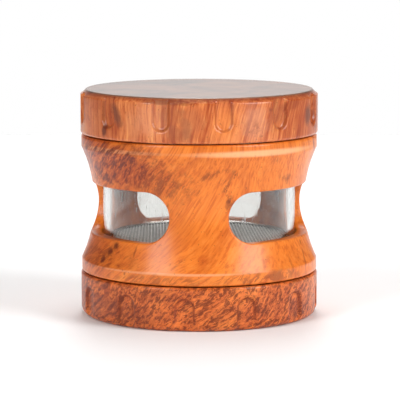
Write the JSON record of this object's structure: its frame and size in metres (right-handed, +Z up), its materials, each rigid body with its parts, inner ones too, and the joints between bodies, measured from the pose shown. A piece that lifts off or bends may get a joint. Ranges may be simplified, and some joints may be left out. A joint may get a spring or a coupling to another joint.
{
  "type": "herb grinder",
  "caption": "Hand-held drum grinder for dried herbs: fluted turning lid, waisted body with windows over a glass sleeve, pollen screen and screw-on base cup.",
  "frame": {"origin": "centre of the base cup's underside", "axes": "+Z up along the drum's axis, -Y towards the front, midway between two windows"},
  "size_m": [0.063, 0.063, 0.0601],
  "materials": {
    "base_print": "glossy burl-wood print under clear lacquer on die-cast zinc alloy",
    "body_print": "glossy burl-wood print under clear lacquer on die-cast zinc alloy",
    "lid_print": "glossy burl-wood print under clear lacquer on die-cast zinc alloy",
    "plate_alloy": "satin die-cast alloy",
    "sleeve_glass": "clear polished tube with fine rubs",
    "screen_wire": "plain-woven stainless gauze",
    "retainer_steel": "polished spring steel",
    "magnet_nickel": "bright nickel plate",
    "screw_steel": "zinc-plated steel",
    "glide_nylon": "natural nylon",
    "seal_silicone": "matte black silicone"
  },
  "bodies": {
    "base": {"base_cup": "base_print"},
    "seal": {"body_seal_ring": "seal_silicone"},
    "waist": {"waist_body": "body_print", "grinding_plate": "plate_alloy", "plate_magnet": "magnet_nickel", "plate_magnet_screw": "screw_steel", "upper_sleeve_gasket": "seal_silicone"},
    "sleeve": {"window_sleeve": "sleeve_glass", "lower_sleeve_gasket": "seal_silicone"},
    "screen": {"screen_frame": "plate_alloy", "screen_mesh": "screen_wire", "screen_retainer": "retainer_steel"},
    "glide": {"glide_ring": "glide_nylon"},
    "lid": {"lid": "lid_print", "lid_magnet": "magnet_nickel", "lid_magnet_screw": "screw_steel"}
  },
  "joints": [
    {"name": "body_rise", "type": "slide", "parent": "base", "child": "seal", "axis": [0, 0, 1], "range_m": [0, 0.0037]},
    {"name": "body_unscrew", "type": "hinge", "parent": "seal", "child": "waist", "pos_m": [0, 0, 0.01185], "axis": [0, 0, 1], "range_deg": [0, 870]},
    {"name": "sleeve_drop", "type": "slide", "parent": "waist", "child": "sleeve", "axis": [0, 0, -1], "range_m": [0, 0.0026]},
    {"name": "screen_unscrew", "type": "hinge", "parent": "sleeve", "child": "screen", "pos_m": [0, 0, 0.0146], "axis": [0, 0, -1], "range_deg": [0, 600]},
    {"name": "lid_lift", "type": "slide", "parent": "waist", "child": "glide", "axis": [0, 0, 1], "range_m": [0, 0.03]},
    {"name": "lid_turn", "type": "hinge", "parent": "glide", "child": "lid", "pos_m": [0, 0, 0.0568], "axis": [0, 0, 1], "continuous": true}
  ],
  "couplings": [
    {"joint": "body_rise", "follows": "body_unscrew", "m_per_rad": 0.00023873},
    {"joint": "sleeve_drop", "follows": "screen_unscrew", "m_per_rad": 0.00023873}
  ]
}
